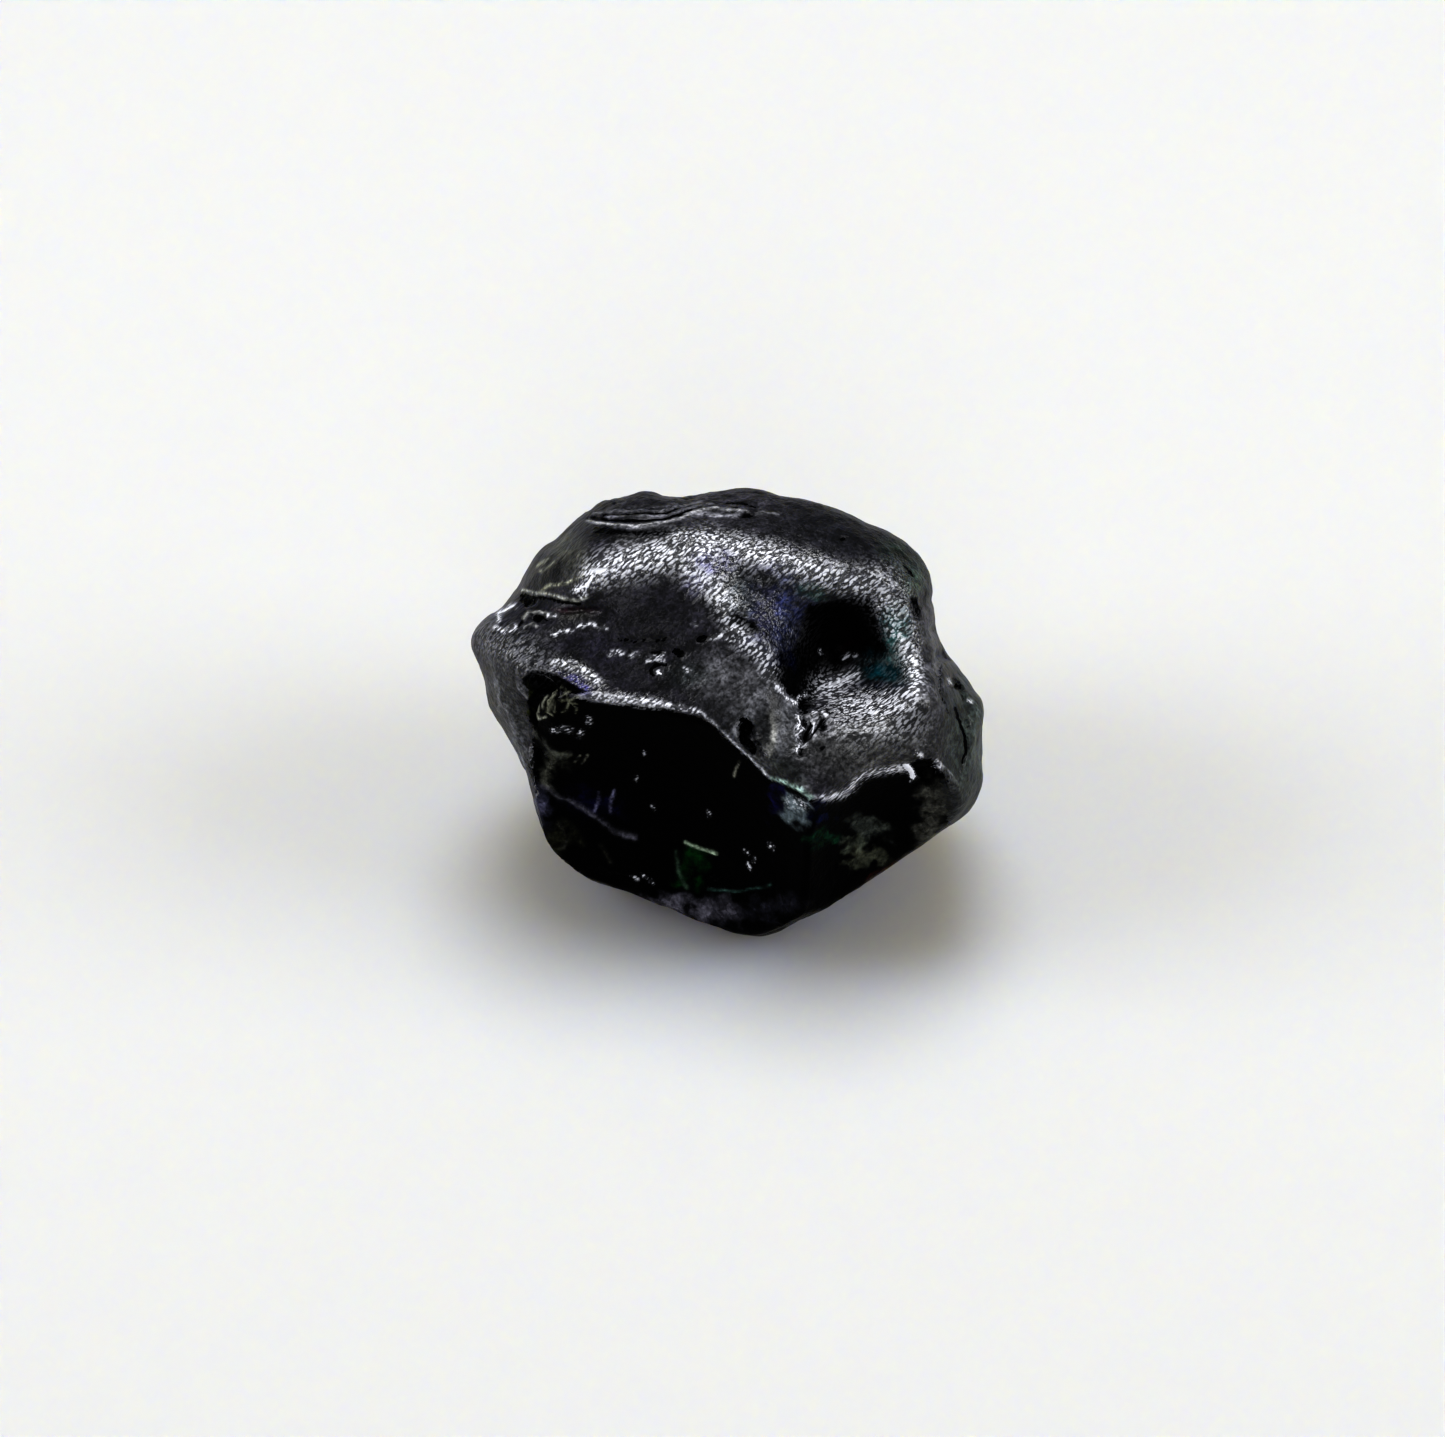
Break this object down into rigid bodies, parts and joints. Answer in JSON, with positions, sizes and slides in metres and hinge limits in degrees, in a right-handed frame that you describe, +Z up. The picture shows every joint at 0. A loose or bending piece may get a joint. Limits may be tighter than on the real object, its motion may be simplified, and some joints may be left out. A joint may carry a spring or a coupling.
{
  "type": "rough sapphire",
  "caption": "Near-black water-worn rough sapphire crystal with a worn, frosted upper face over glassy scalloped breaks, resting on its own small flat.",
  "frame": {"origin": "middle of the bounding box in X and Y, at the level of the resting flat", "axes": "+Z up as the stone rests; the broad worn face looks towards -Y and up, with +X to its right"},
  "size_m": [0.012, 0.0102, 0.0096],
  "materials": {
    "sapphire": "near-black natural corundum, water-worn and frosted on top, glassy on its breaks, with blue, violet and teal tints"
  },
  "bodies": {
    "root": {"sapphire": "sapphire"}
  },
  "joints": []
}
